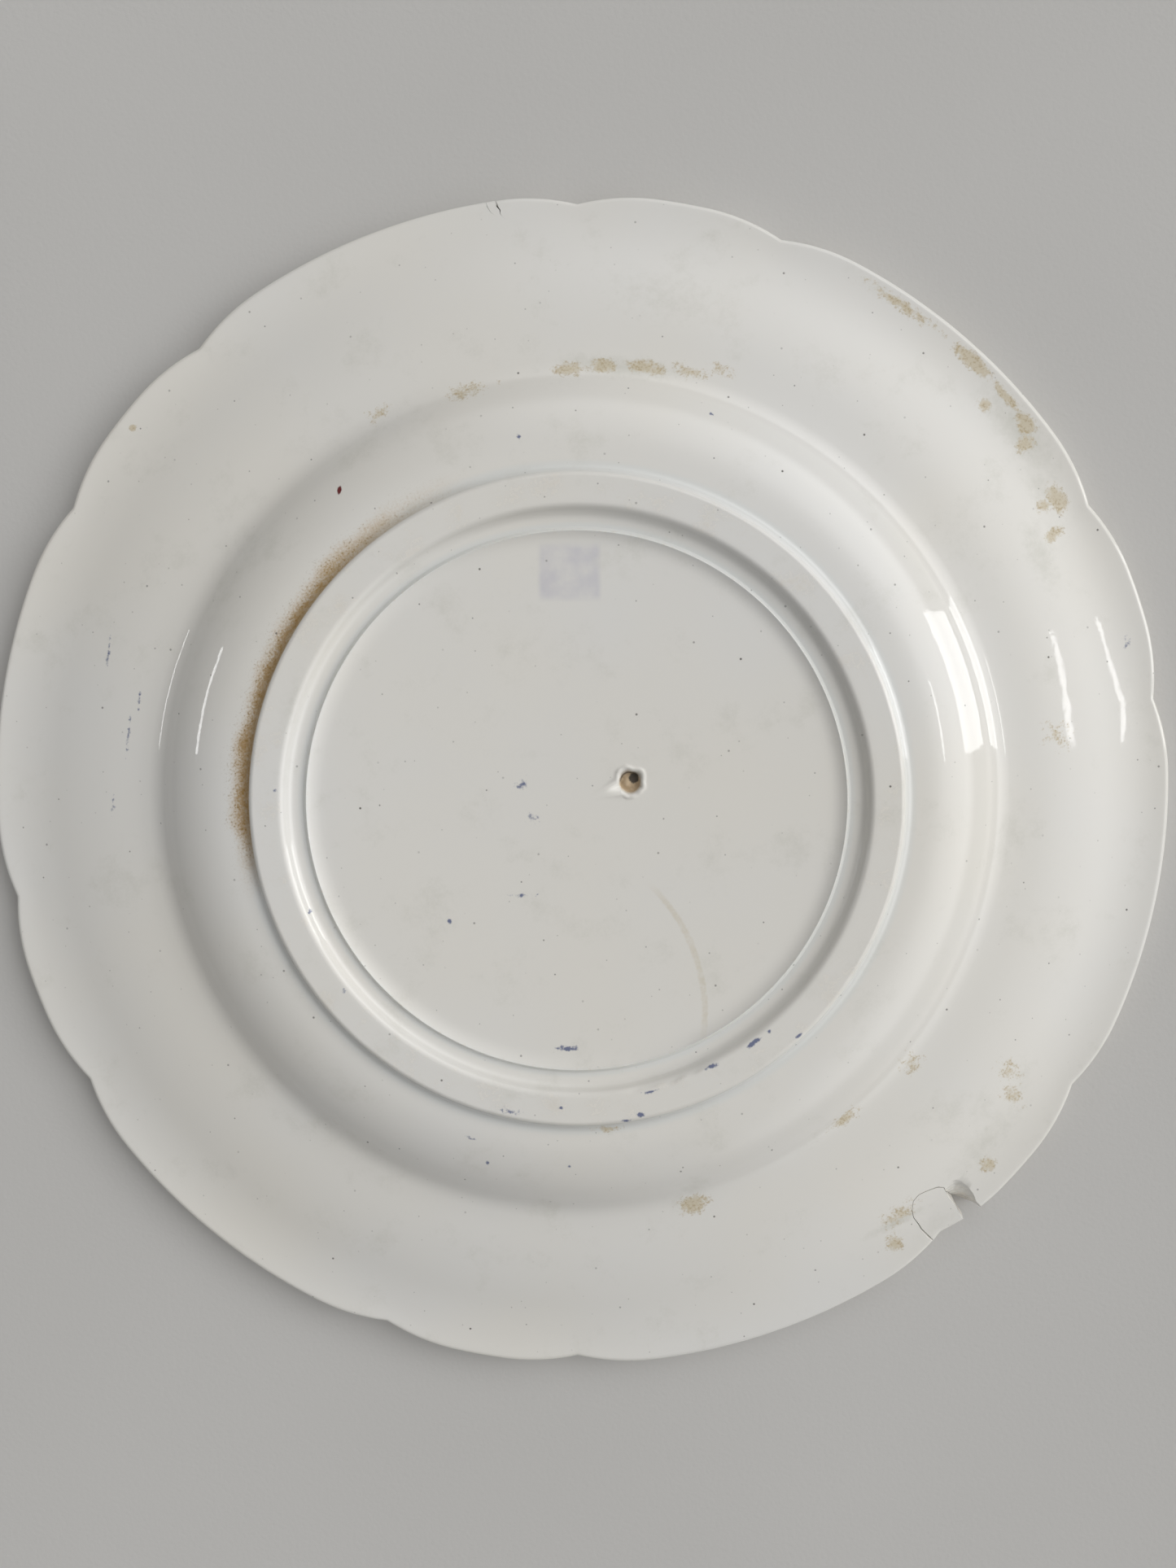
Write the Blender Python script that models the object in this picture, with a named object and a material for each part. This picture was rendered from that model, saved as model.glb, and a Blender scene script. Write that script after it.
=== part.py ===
"""A round white earthenware plate with a scalloped rim, lying face down on its lip.

The plate is turned from one profile. A piece of the rim has broken off and sits back in its break,
beside a chip that is lost. Units are metres, +Z is up, and the plate's axis is the Z axis.
"""

import math

import bmesh
import bpy
from mathutils import Matrix, Vector

MM = 0.001

# Overall size
RIM_DIAMETER = 207.0 * MM  # across opposite lobes of the rim
PLATE_HEIGHT = 16.8 * MM  # from the lip up to the standing face of the foot ring

# Flange: the sloping border between the rim and the wall
FLANGE_WIDTH = 31.1 * MM  # from the rim to the corner where the wall begins, on the underside
FLANGE_FALL = 5.2 * MM  # how far the underside falls across the flange
FLANGE_THICKNESS = 4.0 * MM
FLANGE_BOW = 0.8 * MM  # how far the underside swells above a straight slope
FLANGE_BOW_INSET = 18.5 * MM  # in from the rim to the middle of the swelling
FLANGE_BOW_RADIUS = 90.0 * MM
FLANGE_ROOT_RADIUS = 7.2 * MM  # hollow between the flange and the wall
LIP_BEND_INSET = 6.5 * MM  # in from the rim to where the flange's underside levels out
LIP_BEND_RADIUS = 45.0 * MM
LIP_EDGE_RADIUS = 0.9 * MM  # rounding of the rim's edge on the underside
LIP_RADIUS = 1.6 * MM  # and on the side it lies on
LIP_LAND = 0.6 * MM  # narrow flat that the plate lies on, inside the rounding

# Wall: the curved step between the flange and the base
WALL_RUN = 7.72 * MM  # from the flange's corner in to the shoulder's corner
WALL_THICKNESS = 4.2 * MM
SHOULDER_RADIUS = 22.0 * MM

# Foot ring
FOOT_SETBACK = 9.33 * MM  # from the shoulder's corner in to the foot of the ring
FOOT_HEIGHT = 1.8 * MM  # standing face above the shoulder
FOOT_LEAN = 1.0 * MM  # how far the ring's outer side leans
FOOT_WIDTH = 5.38 * MM  # width of the standing face, between its unrounded edges
FOOT_OUTER_RADIUS = 0.9 * MM
FOOT_INNER_RADIUS = 1.25 * MM
FOOT_ROOT_RADIUS = 1.6 * MM

# Recess inside the foot ring: a cove and a groove run round a thin ridge, which bounds the floor
RECESS_DEPTH = 1.9 * MM
FLOOR_THICKNESS = 4.6 * MM
COVE_INSET = 0.75 * MM  # from the standing face's inner edge to the cove's corner
COVE_RISE = 0.1 * MM  # above the recess floor
COVE_RADIUS = 1.6 * MM
GROOVE_INSET = 2.37 * MM  # from the cove's corner to the groove
GROOVE_DEPTH = 0.1 * MM  # below the recess floor
GROOVE_RADIUS = 0.25 * MM
RIDGE_INSET = 0.6 * MM  # from the groove to the ridge
RIDGE_HEIGHT = 0.72 * MM  # above the recess floor
RIDGE_RADIUS = 0.12 * MM
RAMP_WIDTH = 1.25 * MM  # from the ridge to the corner of the hollow ramp that rises to it
RAMP_RADIUS = 4.6 * MM

# Scallops: each sector of the rim has one small lobe and one large lobe, which meet in cusps
SECTORS = 6
SMALL_LOBE_ANGLE = math.radians(20.0)
CUSP_DEPTH = 1.6 * MM
CUSP_HALF_ANGLE = math.radians(7.5)
SCALLOP_FADE = 9.0 * MM  # from the rim in to where the scallops die out
SMALL_LOBE_COLUMNS = 6
LARGE_LOBE_COLUMNS = 11

# Broken rim piece: its outline lies along the rim and in from it, beside one cusp
FRAGMENT_ANGLE = math.radians(291.0)
FRAGMENT_OUTLINE = (
    (-3.5 * MM, -2.0 * MM),
    (-4.2 * MM, 4.4 * MM),
    (-4.1 * MM, 7.0 * MM),
    (-2.0 * MM, 9.8 * MM),
    (-0.3 * MM, 10.0 * MM),
    (3.6 * MM, 7.4 * MM),
    (3.0 * MM, 4.5 * MM),
    (2.6 * MM, -2.0 * MM),
)
CRACK_GAP = 0.3 * MM

# Lost chip beside the broken piece: a scooped scar that opens through the rim
CHIP_OFFSET = 4.6 * MM  # along the rim from the broken piece's middle
CHIP_INSET = 1.0 * MM  # in from the rim
CHIP_RISE = 3.3 * MM  # above the lip
CHIP_REACH = 6.5 * MM  # half length across the flange
CHIP_HALF_WIDTH = 3.0 * MM
CHIP_HALF_DEPTH = 3.7 * MM

# Pit in the recess floor, where a bubble burst in the glaze
PIT_ANGLE = math.radians(2.0)
PIT_CENTRE_RADIUS = 9.8 * MM
PIT_DIAMETER = 4.6 * MM
PIT_DEPTH = 0.9 * MM

# Facets
ARC_STEP = math.radians(26.0)  # largest turn between two points of a rounded corner
FILLET_SHARE = 0.98  # most of a side that the roundings at its ends may take
CUTTER_SUBDIVISIONS = 3
CUTTER_MARGIN = 2.0 * MM  # how far a cutter runs past the faces that it goes through

# Glazed earthenware
GLAZE_COLOUR = (0.78, 0.77, 0.72, 1.0)
BREAK_COLOUR = (0.74, 0.71, 0.63, 1.0)
GLAZE_ROUGHNESS = 0.12

RIM_RADIUS = RIM_DIAMETER / 2
FLANGE_CORNER = RIM_RADIUS - FLANGE_WIDTH
SHOULDER_CORNER = FLANGE_CORNER - WALL_RUN
FOOT_ROOT = SHOULDER_CORNER - FOOT_SETBACK
FOOT_OUTER = FOOT_ROOT - FOOT_LEAN
FOOT_INNER = FOOT_OUTER - FOOT_WIDTH
COVE = FOOT_INNER - COVE_INSET
GROOVE = COVE - GROOVE_INSET
RIDGE = GROOVE - RIDGE_INSET
SHOULDER_HEIGHT = PLATE_HEIGHT - FOOT_HEIGHT
RECESS_HEIGHT = PLATE_HEIGHT - RECESS_DEPTH
WELL_HEIGHT = RECESS_HEIGHT - FLOOR_THICKNESS


def clear_scene():
    for thing in list(bpy.data.objects):
        bpy.data.objects.remove(thing, do_unlink=True)


def crossing(first, first_run, second, second_run):
    """The point where two lines cross, each given by a point and a direction."""
    gap = second - first
    turn = first_run.x * second_run.y - first_run.y * second_run.x
    share = (gap.x * second_run.y - gap.y * second_run.x) / turn
    return first + share * first_run


def fillet_reaches(corners):
    """How far each corner's rounding runs along its sides, cut down where two would meet."""
    places = [place for place, radius in corners]
    reaches = [0.0] * len(corners)
    for number in range(1, len(corners) - 1):
        inward = places[number - 1] - places[number]
        outward = places[number + 1] - places[number]
        half_turn = (math.pi - inward.angle(outward)) / 2
        reaches[number] = corners[number][1] * math.tan(half_turn)
    for number in range(len(corners) - 1):
        room = FILLET_SHARE * (places[number + 1] - places[number]).length
        wanted = reaches[number] + reaches[number + 1]
        if wanted > room:
            reaches[number] *= room / wanted
            reaches[number + 1] *= room / wanted
    return reaches


def arc(start, corner, end):
    """Points of the arc that leaves one side at start and joins the next at end."""
    inward = (start - corner).normalized()
    outward = (end - corner).normalized()
    turn = math.pi - inward.angle(outward)
    spoke = (start - corner).length / math.tan(turn / 2)
    sweep = turn if inward.cross(outward) < 0 else -turn
    towards = Vector((-inward.y, inward.x)) if sweep < 0 else Vector((inward.y, -inward.x))
    centre = start + spoke * towards
    steps = max(2, math.ceil(turn / ARC_STEP))
    points = []
    for step in range(steps + 1):
        angle = sweep * step / steps
        points.append(centre + Matrix.Rotation(angle, 2) @ (start - centre))
    return points


def rounded(corners):
    """The outline through the corners, each rounded by its radius as far as its sides allow."""
    points = []
    places = [place for place, radius in corners]
    for number, reach in enumerate(fillet_reaches(corners)):
        if not reach:
            points.append(places[number])
            continue
        before = (places[number - 1] - places[number]).normalized()
        after = (places[number + 1] - places[number]).normalized()
        start = places[number] + reach * before
        end = places[number] + reach * after
        points.extend(arc(start, places[number], end))
    return points


def profile():
    """Half section of the plate, from the recess's centre round the lip to the well's centre."""
    lip_front = Vector((RIM_RADIUS, 0))
    lip_land = lip_front - Vector((LIP_RADIUS + LIP_LAND, 0))
    flange_run = Vector((FLANGE_WIDTH, -FLANGE_FALL)).normalized()
    flange_back = lip_land + FLANGE_THICKNESS * Vector((-flange_run.y, flange_run.x))
    lip_back = crossing(lip_front, Vector((0, 1)), flange_back, flange_run)
    flange_corner = lip_back + Vector((-FLANGE_WIDTH, FLANGE_FALL))
    shoulder = Vector((SHOULDER_CORNER, SHOULDER_HEIGHT))
    wall_run = (flange_corner - shoulder).normalized()
    wall_front = shoulder + WALL_THICKNESS * Vector((wall_run.y, -wall_run.x))
    well_edge = Vector((0, WELL_HEIGHT))
    front_root = crossing(lip_land, flange_run, wall_front, wall_run)
    well_corner = crossing(well_edge, Vector((1, 0)), wall_front, wall_run)
    lip_bend = lip_back - flange_run * (LIP_BEND_INSET / flange_run.x)
    bow = lip_back - flange_run * (FLANGE_BOW_INSET / flange_run.x) + Vector((0, FLANGE_BOW))
    fade_front = lip_land - flange_run * (SCALLOP_FADE / flange_run.x)
    return rounded([
        (Vector((0, RECESS_HEIGHT)), 0),
        (Vector((RIDGE - RAMP_WIDTH, RECESS_HEIGHT)), RAMP_RADIUS),
        (Vector((RIDGE, RECESS_HEIGHT + RIDGE_HEIGHT)), RIDGE_RADIUS),
        (Vector((GROOVE, RECESS_HEIGHT - GROOVE_DEPTH)), GROOVE_RADIUS),
        (Vector((COVE, RECESS_HEIGHT + COVE_RISE)), COVE_RADIUS),
        (Vector((FOOT_INNER, PLATE_HEIGHT)), FOOT_INNER_RADIUS),
        (Vector((FOOT_OUTER, PLATE_HEIGHT)), FOOT_OUTER_RADIUS),
        (Vector((FOOT_ROOT, SHOULDER_HEIGHT)), FOOT_ROOT_RADIUS),
        (shoulder, SHOULDER_RADIUS),
        (flange_corner, FLANGE_ROOT_RADIUS),
        (bow, FLANGE_BOW_RADIUS),
        (lip_bend, LIP_BEND_RADIUS),
        (Vector((RIM_RADIUS, lip_bend.y)), LIP_EDGE_RADIUS),
        (lip_front, LIP_RADIUS),
        (lip_land, LIP_RADIUS),
        (fade_front, 0),
        (front_root, FLANGE_ROOT_RADIUS + FLANGE_THICKNESS),
        (well_corner, SHOULDER_RADIUS - WALL_THICKNESS),
        (well_edge, 0),
    ])


def column_angles():
    """Angles of the columns of faces round the plate, so that every cusp has a column of its own."""
    sector = 2 * math.pi / SECTORS
    large_lobe = sector - SMALL_LOBE_ANGLE
    angles = []
    for number in range(SECTORS):
        start = number * sector - SMALL_LOBE_ANGLE / 2
        for column in range(SMALL_LOBE_COLUMNS):
            angles.append(start + SMALL_LOBE_ANGLE * column / SMALL_LOBE_COLUMNS)
        for column in range(LARGE_LOBE_COLUMNS):
            angles.append(start + SMALL_LOBE_ANGLE + large_lobe * column / LARGE_LOBE_COLUMNS)
    return angles


def cusp_drop(angle):
    """How far the rim draws in at this angle: full at a cusp, none along a lobe."""
    sector = 2 * math.pi / SECTORS
    from_lobe = abs(math.remainder(angle, sector))
    from_cusp = abs(from_lobe - SMALL_LOBE_ANGLE / 2)
    return CUSP_DEPTH * max(0.0, 1 - from_cusp / CUSP_HALF_ANGLE) ** 2


def scallop(mesh):
    """Turns each column to its own angle and draws the rim in at the cusps."""
    angles = column_angles()
    step = 2 * math.pi / len(angles)
    for vertex in mesh.verts:
        radius = math.hypot(vertex.co.x, vertex.co.y)
        column = round(math.atan2(vertex.co.y, vertex.co.x) / step) % len(angles)
        reach = min(1.0, max(0.0, (radius - RIM_RADIUS + SCALLOP_FADE) / SCALLOP_FADE))
        radius -= cusp_drop(angles[column]) * reach * reach * (3 - 2 * reach)
        vertex.co.x = radius * math.cos(angles[column])
        vertex.co.y = radius * math.sin(angles[column])


def whole_plate(name):
    """Mesh of the unbroken plate."""
    shape = bmesh.new()
    points = [shape.verts.new((point.x, 0, point.y)) for point in profile()]
    edges = [shape.edges.new(pair) for pair in zip(points, points[1:])]
    bmesh.ops.spin(
        shape,
        geom=points + edges,
        axis=(0, 0, 1),
        cent=(0, 0, 0),
        angle=2 * math.pi,
        steps=len(column_angles()),
        use_merge=True,
    )
    bmesh.ops.remove_doubles(shape, verts=shape.verts, dist=0.001 * MM)
    scallop(shape)
    bmesh.ops.recalc_face_normals(shape, faces=shape.faces)
    mesh = bpy.data.meshes.new(name)
    shape.to_mesh(mesh)
    shape.free()
    mesh.shade_smooth()
    mesh.set_sharp_from_angle(angle=math.radians(40))
    return mesh


def beside_rim(along, inset):
    """Point of the plan, from its distance along the rim and in from it at the broken piece."""
    angle = FRAGMENT_ANGLE + along / RIM_RADIUS
    return Vector((math.cos(angle), math.sin(angle))) * (RIM_RADIUS - inset)


def grown(outline, margin):
    """The closed outline, moved outward by the margin."""
    moved = []
    for number, point in enumerate(outline):
        before = (point - outline[number - 1]).normalized()
        after = (outline[(number + 1) % len(outline)] - point).normalized()
        side = (Vector((before.y, -before.x)) + Vector((after.y, -after.x))).normalized()
        moved.append(point + side * margin / side.dot(Vector((before.y, -before.x))))
    return moved


def add_object(name, mesh):
    thing = bpy.data.objects.new(name, mesh)
    bpy.context.scene.collection.objects.link(thing)
    return thing


def hide_cutter(cutter):
    cutter.hide_render = True
    cutter.display_type = "WIRE"
    return cutter


def break_cutter(name, margin):
    """Prism through the flange on the broken piece's outline."""
    outline = [beside_rim(along, inset) for along, inset in FRAGMENT_OUTLINE]
    if sum(a.cross(b) for a, b in zip(outline, outline[1:] + outline[:1])) < 0:
        outline.reverse()
    top = FLANGE_FALL + FLANGE_THICKNESS + CUTTER_MARGIN
    shape = bmesh.new()
    corners = [shape.verts.new((p.x, p.y, -CUTTER_MARGIN)) for p in grown(outline, margin)]
    base = shape.faces.new(corners)
    raised = bmesh.ops.extrude_face_region(shape, geom=[base])["geom"]
    lifted = [item for item in raised if isinstance(item, bmesh.types.BMVert)]
    bmesh.ops.translate(shape, verts=lifted, vec=(0, 0, top + CUTTER_MARGIN))
    bmesh.ops.recalc_face_normals(shape, faces=shape.faces)
    mesh = bpy.data.meshes.new(name)
    shape.to_mesh(mesh)
    shape.free()
    return hide_cutter(add_object(name, mesh))


def ball_cutter(name, half_sizes, place, turn):
    """Ellipsoid with the given half lengths, turned about Z."""
    shape = bmesh.new()
    bmesh.ops.create_icosphere(shape, subdivisions=CUTTER_SUBDIVISIONS, radius=1.0)
    bmesh.ops.scale(shape, verts=shape.verts, vec=half_sizes)
    mesh = bpy.data.meshes.new(name)
    shape.to_mesh(mesh)
    shape.free()
    cutter = hide_cutter(add_object(name, mesh))
    cutter.location = place
    cutter.rotation_euler.z = turn
    return cutter


def chip_cutter():
    place = beside_rim(CHIP_OFFSET, CHIP_INSET)
    half_sizes = (CHIP_REACH, CHIP_HALF_WIDTH, CHIP_HALF_DEPTH)
    turn = FRAGMENT_ANGLE + CHIP_OFFSET / RIM_RADIUS
    return ball_cutter("chip_cutter", half_sizes, (place.x, place.y, CHIP_RISE), turn)


def pit_cutter():
    """Ball that leaves a dimple of the pit's diameter and depth."""
    radius = (PIT_DIAMETER**2 / 4 + PIT_DEPTH**2) / (2 * PIT_DEPTH)
    place = (
        PIT_CENTRE_RADIUS * math.cos(PIT_ANGLE),
        PIT_CENTRE_RADIUS * math.sin(PIT_ANGLE),
        RECESS_HEIGHT + radius - PIT_DEPTH,
    )
    return ball_cutter("pit_cutter", (radius, radius, radius), place, 0)


def cut(thing, cutter, operation="DIFFERENCE"):
    modifier = thing.modifiers.new(cutter.name, "BOOLEAN")
    modifier.object = cutter
    modifier.operation = operation
    modifier.solver = "EXACT"


def glaze(name, colour):
    material = bpy.data.materials.new(name)
    material.use_nodes = True
    shader = material.node_tree.nodes["Principled BSDF"]
    shader.inputs["Base Color"].default_value = colour
    shader.inputs["Roughness"].default_value = GLAZE_ROUGHNESS
    shader.inputs["Metallic"].default_value = 0.0
    return material


def build_plate():
    plate = add_object("plate", whole_plate("plate"))
    cut(plate, break_cutter("break_cutter", CRACK_GAP))
    cut(plate, chip_cutter())
    cut(plate, pit_cutter())
    plate.data.materials.append(glaze("plate_glaze", GLAZE_COLOUR))


def build_rim_fragment():
    fragment = add_object("rim_fragment", whole_plate("rim_fragment"))
    cut(fragment, break_cutter("fragment_cutter", 0.0), "INTERSECT")
    fragment.data.materials.append(glaze("fragment_glaze", BREAK_COLOUR))


clear_scene()
build_plate()
build_rim_fragment()
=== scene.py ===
import math

import bmesh
import bpy
from mathutils import Matrix, Vector, noise


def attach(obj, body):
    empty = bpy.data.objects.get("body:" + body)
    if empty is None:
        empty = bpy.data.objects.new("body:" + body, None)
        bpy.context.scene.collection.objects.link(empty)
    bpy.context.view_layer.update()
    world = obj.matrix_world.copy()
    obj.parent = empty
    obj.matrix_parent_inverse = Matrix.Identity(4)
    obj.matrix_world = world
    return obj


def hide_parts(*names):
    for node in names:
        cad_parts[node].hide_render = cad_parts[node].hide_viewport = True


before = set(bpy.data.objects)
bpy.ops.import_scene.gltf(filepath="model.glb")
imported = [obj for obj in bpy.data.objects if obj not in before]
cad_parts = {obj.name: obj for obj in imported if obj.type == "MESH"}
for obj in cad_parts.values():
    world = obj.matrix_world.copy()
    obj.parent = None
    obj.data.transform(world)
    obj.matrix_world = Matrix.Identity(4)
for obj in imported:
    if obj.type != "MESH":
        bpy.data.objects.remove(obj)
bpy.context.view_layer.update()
scene = bpy.context.scene
mm = 0.001


class Wire:  # one socket of a node tree; sums on wires add Math nodes
    def __init__(self, tree, socket=None):
        self.tree = tree
        self.socket = socket

    def node(self, kind, settings=None, sockets=None, out=0):
        made = self.tree.nodes.new(kind)
        for name, value in (settings or {}).items():
            setattr(made, name, value)
        for key, value in (sockets or {}).items():
            if isinstance(value, Wire):
                self.tree.links.new(value.socket, made.inputs[key])
            else:
                made.inputs[key].default_value = value
        return Wire(self.tree, made.outputs[out]) if made.outputs else None

    def math(self, operation, *terms):
        return self.node("ShaderNodeMath", {"operation": operation}, dict(enumerate(terms)))

    def __add__(self, other):
        return self.math("ADD", self, other)

    def __sub__(self, other):
        return self.math("SUBTRACT", self, other)

    def __rsub__(self, other):
        return self.math("SUBTRACT", other, self)

    def __mul__(self, other):
        return self.math("MULTIPLY", self, other)

    def __truediv__(self, other):
        return self.math("DIVIDE", self, other)

    def __rtruediv__(self, other):
        return self.math("DIVIDE", other, self)

    __radd__ = __add__
    __rmul__ = __mul__

    def larger(self, other):
        return self.math("MAXIMUM", self, other)

    def size(self):
        return self.math("ABSOLUTE", self)

    def part(self, axis):
        return self.node("ShaderNodeSeparateXYZ", None, {0: self}, axis)

    def ramp(self, low, high, top=1.0):  # smooth step from 0 at low to top at high
        ends = {0: self, 1: low, 2: high, 3: 0.0, 4: top}
        return self.node("ShaderNodeMapRange", {"interpolation_type": "SMOOTHSTEP"}, ends)

    def line(self, low, high, fromLow, toHigh):  # straight line between two values, held outside them
        return self.node("ShaderNodeMapRange", None, {0: self, 1: low, 2: high, 3: fromLow, 4: toHigh})

    def grain(self, size, seed, detail=2.0, rough=0.5):  # noise from -1 to 1 whose patches are size metres
        away = (0.731 * seed, 0.377 * seed, 0.193 * seed)
        moved = self.node("ShaderNodeVectorMath", {"operation": "ADD"}, {0: self, 1: away})
        sockets = {"Vector": moved, "Scale": 1 / size, "Detail": detail, "Roughness": rough}
        return self.node("ShaderNodeTexNoise", None, sockets) * 2 - 1

    def over(self, under, colour):  # this mask lays a colour over another one
        return self.node("ShaderNodeMix", {"data_type": "RGBA"}, {0: self, 6: under, 7: colour}, 2)


# The plate's sizes, in millimetres and degrees, are those of its CAD solid
plateSizes = {
    "rimRadius": 103.5,
    "height": 16.8,
    "flangeWidth": 31.1,
    "flangeFall": 5.2,
    "flangeThickness": 4.0,
    "flangeBow": 0.8,  # swelling of its underside
    "flangeBowInset": 18.5,
    "flangeBowRound": 90.0,
    "flangeHollow": 7.2,
    "lipBendInset": 6.5,
    "lipBendRound": 45.0,
    "lipEdgeRound": 0.9,
    "lipRound": 1.6,
    "lipLand": 0.6,
    "wallRun": 7.72,
    "wallThickness": 4.2,
    "shoulderRound": 22.0,
    "footSetback": 9.33,
    "footHeight": 1.8,
    "footLean": 1.0,
    "footWidth": 5.38,
    "footOuterRound": 0.9,
    "footInnerRound": 1.25,
    "footRootRound": 1.6,
    "recessDepth": 1.9,
    "floorThickness": 4.6,
    "coveInset": 0.75,
    "coveRise": 0.1,
    "coveRound": 1.6,
    "grooveInset": 2.37,
    "grooveDepth": 0.1,
    "grooveRound": 0.25,
    "ridgeInset": 0.6,
    "ridgeHeight": 0.72,
    "ridgeRound": 0.12,
    "rampWidth": 1.25,
    "rampRound": 4.6,
    "arcTurn": 10.0,  # largest turn between two points of a rounded corner
    "arcLength": 0.9,  # and the longest step along it
}
scallopKnobs = {  # metres and degrees, handed to the node tree
    "Columns": 432,
    "Sectors": 6,
    "Small Lobe": 20.0,
    "Cusp Depth": 1.6 * mm,
    "Cusp Reach": 7.5,
    "Scallop Fade": 9.0 * mm,
    "Wobble": 0.07 * mm,  # slow unevenness of a hand-turned surface
    "Wobble Size": 26.0 * mm,
    "Crumble": 0.05 * mm,  # worn edges of the ridge and the foot ring
    "Crumble Size": 1.6 * mm,
    "Seed": 4.0,
}
footRoot = (
    plateSizes["rimRadius"] - plateSizes["flangeWidth"] - plateSizes["wallRun"] - plateSizes["footSetback"]
)
footOuter = footRoot - plateSizes["footLean"]
footInner = footOuter - plateSizes["footWidth"]
cove = footInner - plateSizes["coveInset"]
groove = cove - plateSizes["grooveInset"]
ridge = groove - plateSizes["ridgeInset"]
recessHeight = plateSizes["height"] - plateSizes["recessDepth"]
pitPlace = Vector((9.79, 0.34))


def crossing(first, firstRun, second, secondRun):
    share = (second - first).cross(secondRun) / firstRun.cross(secondRun)
    return first + share * firstRun


def filletReaches(corners):  # how far each rounding runs along its sides, cut down where two would meet
    places = [place for place, radius in corners]
    reaches = [0.0] * len(corners)
    for n in range(1, len(corners) - 1):
        turn = math.pi - (places[n - 1] - places[n]).angle(places[n + 1] - places[n])
        reaches[n] = corners[n][1] * math.tan(turn / 2)
    for n in range(len(corners) - 1):
        room = 0.98 * (places[n + 1] - places[n]).length
        wanted = reaches[n] + reaches[n + 1]
        if wanted > room:
            reaches[n] *= room / wanted
            reaches[n + 1] *= room / wanted
    return reaches


def roundCorner(start, corner, end):
    inward = (start - corner).normalized()
    outward = (end - corner).normalized()
    turn = math.pi - inward.angle(outward)
    spoke = (start - corner).length / math.tan(turn / 2)
    sweep = turn if inward.cross(outward) < 0 else -turn
    side = Vector((-inward.y, inward.x)) if sweep < 0 else Vector((inward.y, -inward.x))
    centre = start + spoke * side
    byTurn = turn / math.radians(plateSizes["arcTurn"])
    steps = max(2, math.ceil(byTurn), math.ceil(turn * spoke / plateSizes["arcLength"]))
    return [centre + Matrix.Rotation(sweep * n / steps, 2) @ (start - centre) for n in range(steps + 1)]


def rowSpacing(point):  # how far apart the rows of faces may be, by where they are
    underside = point.y > recessHeight - 2.2 or (point.x > 60 and point.y > 6.9 - (point.x - 75) * 0.15)
    if not underside:
        return 5.0
    if abs(point.x - pitPlace.length) < 3.5:
        return 0.24
    if footInner - 2 < point.x < footRoot + 1:
        return 0.55
    return 1.6 if point.x > 92 else 2.6


# Half section in millimetres, from the recess's middle round the lip to the well's middle
def plateProfile(s):
    lipFront = Vector((s["rimRadius"], 0))
    lipLand = lipFront - Vector((s["lipRound"] + s["lipLand"], 0))
    flangeRun = Vector((s["flangeWidth"], -s["flangeFall"])).normalized()
    flangeBack = lipLand + s["flangeThickness"] * Vector((-flangeRun.y, flangeRun.x))
    lipBack = crossing(lipFront, Vector((0, 1)), flangeBack, flangeRun)
    flangeCorner = lipBack + Vector((-s["flangeWidth"], s["flangeFall"]))
    lipBend = lipBack - flangeRun * (s["lipBendInset"] / flangeRun.x)
    bow = lipBack - flangeRun * (s["flangeBowInset"] / flangeRun.x) + Vector((0, s["flangeBow"]))
    shoulder = Vector((flangeCorner.x - s["wallRun"], s["height"] - s["footHeight"]))
    wallRun = (flangeCorner - shoulder).normalized()
    wallFront = shoulder + s["wallThickness"] * Vector((wallRun.y, -wallRun.x))
    wellEdge = Vector((0, recessHeight - s["floorThickness"]))
    corners = [
        (Vector((0, recessHeight)), 0),
        (Vector((ridge - s["rampWidth"], recessHeight)), s["rampRound"]),
        (Vector((ridge, recessHeight + s["ridgeHeight"])), s["ridgeRound"]),
        (Vector((groove, recessHeight - s["grooveDepth"])), s["grooveRound"]),
        (Vector((cove, recessHeight + s["coveRise"])), s["coveRound"]),
        (Vector((footInner, s["height"])), s["footInnerRound"]),
        (Vector((footOuter, s["height"])), s["footOuterRound"]),
        (Vector((footRoot, shoulder.y)), s["footRootRound"]),
        (shoulder, s["shoulderRound"]),
        (flangeCorner, s["flangeHollow"]),
        (bow, s["flangeBowRound"]),
        (lipBend, s["lipBendRound"]),
        (Vector((s["rimRadius"], lipBend.y)), s["lipEdgeRound"]),
        (lipFront, s["lipRound"]),
        (lipLand, s["lipRound"]),
        (crossing(lipLand, flangeRun, wallFront, wallRun), s["flangeHollow"] + s["flangeThickness"]),
        (crossing(wellEdge, Vector((1, 0)), wallFront, wallRun), s["shoulderRound"] - s["wallThickness"]),
        (wellEdge, 0),
    ]
    places = [place for place, radius in corners]
    points = []
    for n, reach in enumerate(filletReaches(corners)):
        turned = [places[n]]
        if reach:
            start = places[n] + reach * (places[n - 1] - places[n]).normalized()
            end = places[n] + reach * (places[n + 1] - places[n]).normalized()
            turned = roundCorner(start, places[n], end)
        if points:  # rows along the straight run that leads here
            gap = turned[0] - points[-1]
            done = rowSpacing(points[-1])
            while done < gap.length - 0.1:
                points.append(turned[0] - gap * (1 - done / gap.length))
                done += rowSpacing(points[-1])
        points.extend(turned)
    return points


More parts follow.
